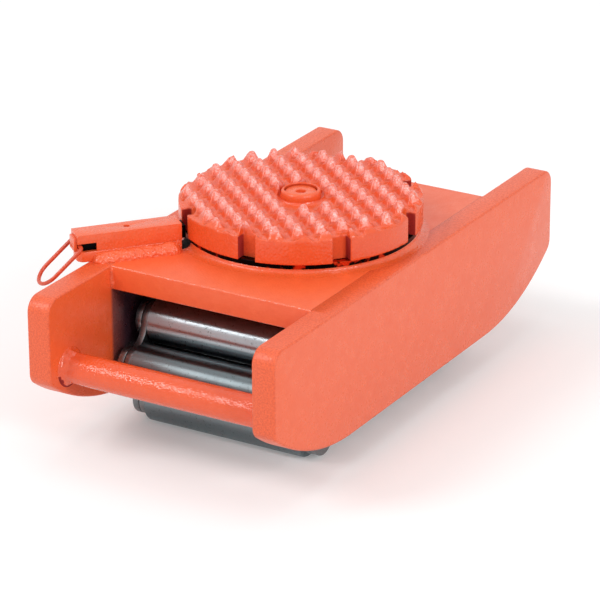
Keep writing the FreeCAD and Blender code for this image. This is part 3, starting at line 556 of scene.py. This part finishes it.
class SKATE_OT_tow_bars(bpy.types.Operator):
    """Round tow bars with lumpy weld collars at both ends"""
    bl_idname = "skate.tow_bars"
    bl_label = "Tow bars"

    def execute(self, context):
        # A glossy coat with deep peel, so the long highlight breaks into speckles
        paint = enamel_finish("sprayed_enamel_on_bar", tones=("enamel_deep", "enamel"), grain_share=0.35, peel_mm=0.9,
                              peel_depth_mm=0.29, gloss=(0.1, 0.18))
        crease = matt_painted_shade("matt_crease_shade", colours().notch)
        leg = sizes().collar_leg
        for node in ("tow_bar_front", "tow_bar_rear"):
            low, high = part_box(node)
            middle = node_middle(node)
            half = (high[1] - low[1]) / 2
            collar = (high[0] - low[0]) / 2
            bm = turned(self.profile(half, collar, leg), middle, SIDEWAYS, steps=72)
            # The collars are lumpy to a little past their run-out, but not against the plate
            lump(bm, sizes().collar_lump, size_mm=3.2,
                 where=lambda co: half - 2.2 * leg < abs(co.y - middle.y) < half - 0.6 * MM)
            # The crease under each collar is darkened as painted shade
            for face in bm.faces:
                spot = face.calc_center_median() - middle
                face.material_index = int(spot.z < -0.2 * collar and abs(spot.y) > half - 0.4 * leg)
            dress(bm, node + "_dressed", paint, "frame", [node], smooth=50.0, second=crease)
        return {"FINISHED"}

    def profile(self, half, collar, leg):
        """Half section of a bar: a hollow collar at each end, which runs out along the bar."""
        hollow, collar_parts, bar_parts = 1.6, 8, 6
        bar = collar - leg
        run = 1.6 * leg
        neck = half - run
        points = [(0.0, -half), (collar, -half)]
        points += [(bar + leg * (1 - part / collar_parts) ** hollow, -half + run * part / collar_parts)
                   for part in range(1, collar_parts + 1)]
        points += [(bar, -neck * part / bar_parts) for part in range(bar_parts - 1, 0, -1)]
        return points + [(bar, 0.0)] + [(radius, -reach) for radius, reach in reversed(points)]


# Turn of one straight piece in a link plate's arcs
ARC_STEP = math.radians(9)


class SKATE_OT_roller_chain(bpy.types.Operator):
    """Turned rollers, stamped link plates with riveted pins, and the track plate they run round"""
    bl_idname = "skate.roller_chain"
    bl_label = "Roller chain"

    def execute(self, context):
        self.rollers()
        self.links()
        self.track()
        return {"FINISHED"}

    def rollers(self):
        bright = turned_steel("turned_roller_steel", colours().roller)
        shaded_steel = turned_steel("roller_steel_with_painted_shade", colours().roller_shaded)
        track_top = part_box("track_plate")[1][2]
        bore = sizes().roller_bore
        corner = sizes().roller_chamfer
        for number in CHAIN:
            node = f"roller_{number:02d}"
            low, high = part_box(node)
            radius = (high[2] - low[2]) / 2
            half = (high[1] - low[1]) / 2
            profile = [(bore, -half), (radius - corner, -half), (radius - 0.3 * corner, -half + 0.3 * corner),
                       (radius, -half + corner), (radius, 0.0)]
            profile += [(across, -reach) for across, reach in reversed(profile[:-1])] + [(bore, -half)]
            middle = node_middle(node)
            bm = turned(profile, middle, SIDEWAYS)
            # The rollers under the track take the darker steel as painted shade
            steel = shaded_steel if middle.z < track_top else bright
            dress(bm, node + "_dressed", steel, f"roll_{number:02d}", [node])

    def outline(self, start, end):
        """One waisted link outline in the plane of the two pin centres."""
        bm = bmesh.new()
        eye = sizes().link_eye
        waist = sizes().link_waist
        along = end - start
        across = Vector((-along.z, 0.0, along.x)).normalized()
        axis = along.cross(across).normalized()
        middle = (start + end) / 2
        reach = along.length / 2
        hollow = (reach ** 2 + waist ** 2 - eye ** 2) / (2 * (eye - waist))
        tangent = math.atan2(waist + hollow, reach)
        sweep = math.tau - 2 * tangent
        dip = math.pi - 2 * tangent
        last = bm.verts.new(start + (along.normalized() * math.cos(tangent) + across * math.sin(tangent)) * eye)
        for cent, angle in ((start, sweep), (middle - across * (waist + hollow), -dip),
                            (end, sweep), (middle + across * (waist + hollow), -dip)):
            steps = max(6, round(abs(angle) / ARC_STEP))
            spun = bmesh.ops.spin(bm, geom=[last], cent=cent, axis=axis, angle=angle, steps=steps)
            last = next(item for item in spun["geom_last"] if isinstance(item, bmesh.types.BMVert))
        bmesh.ops.remove_doubles(bm, verts=bm.verts, dist=0.01 * MM)
        bmesh.ops.contextual_create(bm, geom=bm.edges[:])
        return bm

    def plate(self, target, start, end, low, high):
        """Adds one link plate between two depths to the target mesh."""
        bm = self.outline(start, end)
        bmesh.ops.translate(bm, verts=bm.verts, vec=SIDEWAYS * low)
        grown = bmesh.ops.extrude_face_region(bm, geom=bm.faces[:], use_keep_orig=True)
        lifted = [item for item in grown["geom"] if isinstance(item, bmesh.types.BMVert)]
        bmesh.ops.translate(bm, verts=lifted, vec=SIDEWAYS * (high - low))
        bmesh.ops.recalc_face_normals(bm, faces=bm.faces)
        round_edges(bm, sizes().link_edge, segments=2, angle=60.0)
        self.join(target, bm)

    def pin(self, target, centre, half):
        """Adds one riveted pin through the chain to the target mesh."""
        bm = bmesh.new()
        radius = sizes().pin_radius
        turn = Matrix.Translation(centre) @ Matrix.Rotation(math.pi / 2, 4, "X")
        bmesh.ops.create_cone(bm, cap_ends=True, segments=32, radius1=radius, radius2=radius, depth=2 * half,
                              matrix=turn)
        round_edges(bm, sizes().rivet_round, angle=60.0)
        self.join(target, bm)

    def join(self, target, bm):
        """Adds a mesh to the target mesh."""
        mesh = bpy.data.meshes.new("part")
        bm.to_mesh(mesh)
        bm.free()
        target.from_mesh(mesh)
        bpy.data.meshes.remove(mesh)

    def links(self):
        steel = plain_steel("stamped_link_steel", colours().link, grain_mm=0.8, gloss=(0.26, 0.42))
        centres = [node_middle(f"roller_{number:02d}") for number in CHAIN]
        inner_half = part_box("link_pair_01")[1][1]
        pin_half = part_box("link_pair_02")[1][1]
        thickness = sizes().link_thickness
        for number, start, end in zip(CHAIN, centres, centres[1:] + centres[:1]):
            node = f"link_pair_{number:02d}"
            outer = number % 2 == 0
            half = pin_half - sizes().pin_stand if outer else inner_half
            bm = bmesh.new()
            self.plate(bm, start, end, half - thickness, half)
            self.plate(bm, start, end, -half, -half + thickness)
            if outer:
                for centre in (start, end):
                    self.pin(bm, centre, pin_half)
            dress(bm, node + "_dressed", steel, "frame", [node])

    def track(self):
        steel = plain_steel("machined_track_steel", colours().track, grain_mm=1.2, gloss=(0.3, 0.45))
        bm = cad_shape("track_plate")
        round_edges(bm, sizes().track_round, angle=60.0)
        dress(bm, "track_plate_dressed", steel, "frame", ["track_plate"])


# The hub's rounded rim from its foot up: inset from the rim and drop under the crown, in millimetres
HUB_RIM = ((-0.2, 4.6), (0.0, 2.2), (0.2, 1.1), (0.55, 0.5), (1.1, 0.1), (1.5, 0.0))
# The mouth of the hub's recess from the crown down: distance from the wall and drop, in millimetres
HUB_MOUTH = ((0.3, 0.05), (0.05, 0.25), (0.0, 0.6))


class SKATE_OT_swivel(bpy.types.Operator):
    """Cast toothed pad on its base ring and greased washer, held by the pivot screw"""
    bl_idname = "skate.swivel"
    bl_label = "Swivel pad"

    def execute(self, context):
        sprayed = enamel_finish("sprayed_enamel")
        self.pad()
        self.hub(sprayed)
        screw = cad_shape("pivot_screw")
        round_edges(screw, sizes().screw_round)
        dress(screw, "pivot_screw_dressed", sprayed, "frame", ["pivot_screw"])
        self.ring(sprayed)
        washer = cad_shape("thrust_washer")
        round_edges(washer, sizes().washer_round, segments=1)
        # The washer's near-black greased steel also stands as painted shade of the gap under the pad
        greased = plain_steel("greased_washer_steel_and_gap_shade", colours().grease_and_gap_shade, grain_mm=1.5, gloss=(0.25, 0.4),
                              fleck=colours().enamel_edge)
        dress(washer, "thrust_washer_dressed", greased, "frame", ["thrust_washer"])
        return {"FINISHED"}

    def pad(self):
        """The cast pad: its teeth are worn to points, and the ground round the hub is bare."""
        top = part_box("swivel_pad")[1][2]
        height = sizes().tooth_height
        valley = top - height
        # The upper part of each tooth is paled in specks: partly rubbed paint, partly painted highlight
        paint = enamel_finish("cast_pad_enamel", tones=("enamel_deep", "enamel"), grain_share=0.35,
                              tips=(top - 4.0 * MM, top - 2.0 * MM))
        skin = cast(cad_shape("swivel_pad"), sizes().pad_voxel)
        for vert in skin.verts:
            if vert.co.z > valley:
                bare = vert.co.xy.length < sizes().hub_clear / 2
                share = 0.0 if bare else min((vert.co.z - valley) / height, 1.0)
                vert.co.z = valley + height * share ** sizes().tooth_point
        dress(skin, "swivel_pad_dressed", paint, "pad", ["swivel_pad"], smooth=80.0)

    def hub(self, paint):
        """The pad's smooth hub, turned after casting, round the recess for the screw's head."""
        recess = sizes().hub_recess / 2
        rim = sizes().hub_width / 2
        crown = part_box("swivel_pad")[1][2] - sizes().hub_drop
        sunk = crown - sizes().hub_depth
        outside = [(rim - inset * MM, crown - drop * MM) for inset, drop in HUB_RIM]
        mouth = [(recess + lead * MM, crown - drop * MM) for lead, drop in HUB_MOUTH]
        foot = (outside[0][0], sunk)
        bm = turned([(recess, sunk), foot, *outside, *mouth, (recess, sunk)], (0, 0, 0), UP)
        slack = 0.02 * MM
        # The recess walls take the darker thin coat as painted shade
        for face in bm.faces:
            face.material_index = int(face.calc_center_median().xy.length < recess + slack)
        dress(bm, "pad_hub", paint, "pad", smooth=50.0, second=thin_enamel_and_recess_shade())

    def ring(self, paint):
        """The base ring, with a paint fillet at its foot and, behind the bolt, a dark matt strip painted as the gap's
        shade.
        """
        low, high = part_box("base_ring")
        rim = (high[0] - low[0]) / 2
        rise = high[2] - low[2]
        foot = sizes().ring_foot
        bore = sizes().ring_bore
        corner = 0.4 * MM
        fillet_top = rise - 0.5 * MM
        steps = 6
        profile = [(bore, 0.0), (rim + foot, 0.0)]
        profile += [(rim + foot * (1 - math.sin(turn)), fillet_top * (1 - math.cos(turn)))
                    for turn in (math.pi / 2 * step / steps for step in range(1, steps + 1))]
        profile += [(rim, rise - corner), (rim - corner, rise), (bore, rise), (bore, 0.0)]
        bm = turned(profile, (0, 0, low[2]), UP, steps=160)
        # Behind the bolt the ring is painted dark, as shade of the gap under the pad
        for face in bm.faces:
            spot = face.calc_center_median()
            face.material_index = int(spot.dot(ALONG) > 0 and abs(spot.dot(ACROSS)) < sizes().ring_gap_shade)
        dress(bm, "base_ring_dressed", paint, "frame", ["base_ring"],
              second=matt_painted_shade("matt_gap_shade", colours().grease_and_gap_shade))


class SKATE_OT_swivel_lock(bpy.types.Operator):
    """Swivel lock: base bar with its weld beads, housing, sliding bolt and stop pin"""
    bl_idname = "skate.swivel_lock"
    bl_label = "Swivel lock"

    def execute(self, context):
        paint = enamel_finish("sprayed_enamel")
        for node in ("lock_base", "lock_housing"):
            bm = cad_shape(node)
            round_edges(bm, sizes().lock_round)
            dress(bm, node + "_dressed", paint, "frame", [node])
        self.stop_pin()
        self.bolt(paint)
        self.beads()
        return {"FINISHED"}

    def stop_pin(self):
        """Stop pin, driven in a little under the housing's top."""
        pin = cad_shape("lock_stop_pin")
        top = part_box("lock_stop_pin")[1][2]
        bmesh.ops.translate(pin, verts=[vert for vert in pin.verts if vert.co.z > top - 0.01 * MM],
                            vec=-UP * sizes().stop_sink)
        round_edges(pin, sizes().stop_round)
        dress(pin, "lock_stop_pin_dressed", thin_enamel_and_recess_shade(), "frame", ["lock_stop_pin"])

    def bolt(self, paint):
        """Greased bolt whose outer end caught the paint; its near-black steel also stands as painted shade in the
        housing's slot.
        """
        bolt = cad_shape("lock_bolt")
        round_edges(bolt, sizes().lock_round)
        end = max(vert.co.dot(ALONG) for vert in bolt.verts) - sizes().bolt_paint
        bmesh.ops.bisect_plane(bolt, geom=bolt.verts[:] + bolt.edges[:] + bolt.faces[:], plane_co=ALONG * end,
                               plane_no=ALONG)
        for face in bolt.faces:
            face.material_index = int(face.calc_center_median().dot(ALONG) > end)
        greased = plain_steel("greased_bolt_steel_and_slot_shade", colours().grease_and_gap_shade, grain_mm=1.0, gloss=(0.3, 0.45))
        dress(bolt, "lock_bolt_dressed", greased, "bolt", ["lock_bolt"], second=paint)

    def beads(self):
        """Weld beads along the base, laid in ripples and fused, with a thick start next to the pad."""
        seams = cad_shape("lock_welds")
        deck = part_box("lock_welds")[0][2]
        bm = bmesh.new()
        for side in (1, -1):
            spots = [(vert.co.dot(ALONG), side * vert.co.dot(ACROSS)) for vert in seams.verts]
            reaches, offsets = zip(*(spot for spot in spots if spot[1] > 0))
            start, end = min(reaches), max(reaches)
            wall = min(offsets)
            leg = max(offsets) - wall
            ripples = round((end - start) / sizes().bead_step)
            for ripple in range(ripples):
                # Two thick ripples at the start, then others that swell a little in turn
                swell = 1.12 if ripple < 2 else 0.97 + 0.03 * math.sin(2.1 * ripple)
                reach = start + leg * 0.5 + (end - start - leg) * ripple / (ripples - 1)
                spot = ALONG * reach + ACROSS * side * wall + UP * deck
                bmesh.ops.create_icosphere(bm, subdivisions=3, radius=leg * swell, matrix=Matrix.Translation(spot))
        seams.free()
        beads = cast(bm, sizes().bead_voxel, passes=2)
        lump(beads, sizes().bead_lump, size_mm=1.4)
        # Rough weld metal under the coat: finer, deeper peel, with pale specks
        paint = enamel_finish("enamel_over_weld", peel_mm=0.7, peel_depth_mm=0.25, speckle=0.45)
        dress(beads, "lock_welds_dressed", paint, "frame", ["lock_welds"], smooth=80.0)


class SKATE_OT_pull_ring(bpy.types.Operator):
    """Bent wire that pulls the lock bolt"""
    bl_idname = "skate.pull_ring"
    bl_label = "Pull ring"

    def execute(self, context):
        wire = cast(cad_shape("pull_ring"), sizes().wire_voxel, passes=4)
        wire.normal_update()
        for vert in wire.verts:
            vert.co -= vert.normal * sizes().wire_thin
        dress(wire, "pull_ring_dressed", thin_enamel_and_recess_shade(), "ring", ["pull_ring"], smooth=80.0)
        return {"FINISHED"}


# ---------------------------------------------------------------- studio

CAMERA_PLACE = (1.44324, 0.84986, 0.75025)
CAMERA_AZIMUTH = 120.514
CAMERA_ELEVATION = 22.709
CAMERA_ROLL = -0.23
CAMERA_LENS = 212.8
CAMERA_SENSOR = 36.0

# Softboxes, all aimed at the skate: name, place, width and height in metres, and watts
LAMPS = (
    ("left_softbox", (2.32, -1.88, 2.70), 1.2, 1.5, 48.0),
    ("right_softbox", (1.23, 3.30, 1.95), 1.0, 1.0, 43.0),
    ("top_softbox", (-0.3, 0.0, 4.0), 2.5, 2.5, 17.0),
)
LAMP_AIM = (0.0, 0.0, 0.05)
SKY_LIGHT = 0.66
SKY_SEEN = 1.0
FLOOR_HALF = 6.0
FLOOR_DROP = 0.2 * MM
FLOOR_GLOW = 0.2


class SKATE_OT_stage(bpy.types.Operator):
    """Pale floor, soft studio light and the camera"""
    bl_idname = "skate.stage"
    bl_label = "Stage"

    def execute(self, context):
        self.floor()
        self.world()
        for lamp in LAMPS:
            self.softbox(*lamp)
        self.camera()
        bpy.context.scene.view_settings.view_transform = "Standard"
        return {"FINISHED"}

    def floor(self):
        bm = bmesh.new()
        bmesh.ops.create_grid(bm, x_segments=1, y_segments=1, size=FLOOR_HALF)
        bmesh.ops.translate(bm, verts=bm.verts, vec=-UP * FLOOR_DROP)
        mesh = bpy.data.meshes.new("studio_floor")
        bm.to_mesh(mesh)
        bm.free()
        mesh.materials.append(paper_floor())
        sheet = bpy.data.objects.new("studio_floor", mesh)
        bpy.context.collection.objects.link(sheet)

    def world(self):
        world = bpy.data.worlds.new("studio_white")
        world.use_nodes = True
        tree = world.node_tree
        tree.nodes.clear()
        level = add_node(tree, "MapRange", {"Value": seen_white(tree), "To Min": SKY_LIGHT, "To Max": SKY_SEEN})
        sky = add_node(tree, "Background", {"Color": (1.0, 1.0, 1.0, 1.0), "Strength": level.outputs[0]})
        output = add_node(tree, "OutputWorld", {"Surface": sky.outputs[0]})
        output.is_active_output = True
        bpy.context.scene.world = world

    def softbox(self, name, spot, width, height, watts):
        """An area lamp that faces the skate."""
        data = bpy.data.lights.new(name, "AREA")
        data.shape = "RECTANGLE"
        data.size = width
        data.size_y = height
        data.energy = watts
        lamp = bpy.data.objects.new(name, data)
        lamp.location = spot
        lamp.rotation_euler = (Vector(LAMP_AIM) - Vector(spot)).to_track_quat("-Z", "Y").to_euler()
        bpy.context.collection.objects.link(lamp)

    def camera(self):
        data = bpy.data.cameras.new("camera")
        data.lens = CAMERA_LENS
        data.sensor_width = CAMERA_SENSOR
        camera = bpy.data.objects.new("camera", data)
        turn = (Matrix.Rotation(math.radians(CAMERA_AZIMUTH), 4, "Z")
                @ Matrix.Rotation(math.radians(90 - CAMERA_ELEVATION), 4, "X")
                @ Matrix.Rotation(math.radians(CAMERA_ROLL), 4, "Z"))
        camera.matrix_world = Matrix.Translation(CAMERA_PLACE) @ turn
        bpy.context.collection.objects.link(camera)
        bpy.context.scene.camera = camera


class SKATE_PT_panel(bpy.types.Panel):
    """The skate's pieces, sizes and colours"""
    bl_idname = "SKATE_PT_panel"
    bl_label = "Machine skate"
    bl_space_type = "VIEW_3D"
    bl_region_type = "UI"
    bl_category = "Skate"

    def draw(self, context):
        for operator in OPERATORS:
            self.layout.operator(operator.bl_idname)
        for group in (context.scene.skate_sizes, context.scene.skate_colours):
            box = self.layout.box()
            for name in group.__annotations__:
                box.prop(group, name)


OPERATORS = (SKATE_OT_frame_plates, SKATE_OT_tow_bars, SKATE_OT_roller_chain, SKATE_OT_swivel,
             SKATE_OT_swivel_lock, SKATE_OT_pull_ring, SKATE_OT_stage)
CLASSES = (SkateSizes, SkateColours, *OPERATORS, SKATE_PT_panel)


def register():
    for kind in CLASSES:
        bpy.utils.register_class(kind)
    bpy.types.Scene.skate_sizes = bpy.props.PointerProperty(type=SkateSizes)
    bpy.types.Scene.skate_colours = bpy.props.PointerProperty(type=SkateColours)


def unregister():
    del bpy.types.Scene.skate_colours
    del bpy.types.Scene.skate_sizes
    for kind in reversed(CLASSES):
        bpy.utils.unregister_class(kind)


def main():
    register()
    bpy.ops.skate.frame_plates()
    bpy.ops.skate.tow_bars()
    bpy.ops.skate.roller_chain()
    bpy.ops.skate.swivel()
    bpy.ops.skate.swivel_lock()
    bpy.ops.skate.pull_ring()
    bpy.ops.skate.stage()
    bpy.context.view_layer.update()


if __name__ == "__main__":
    main()
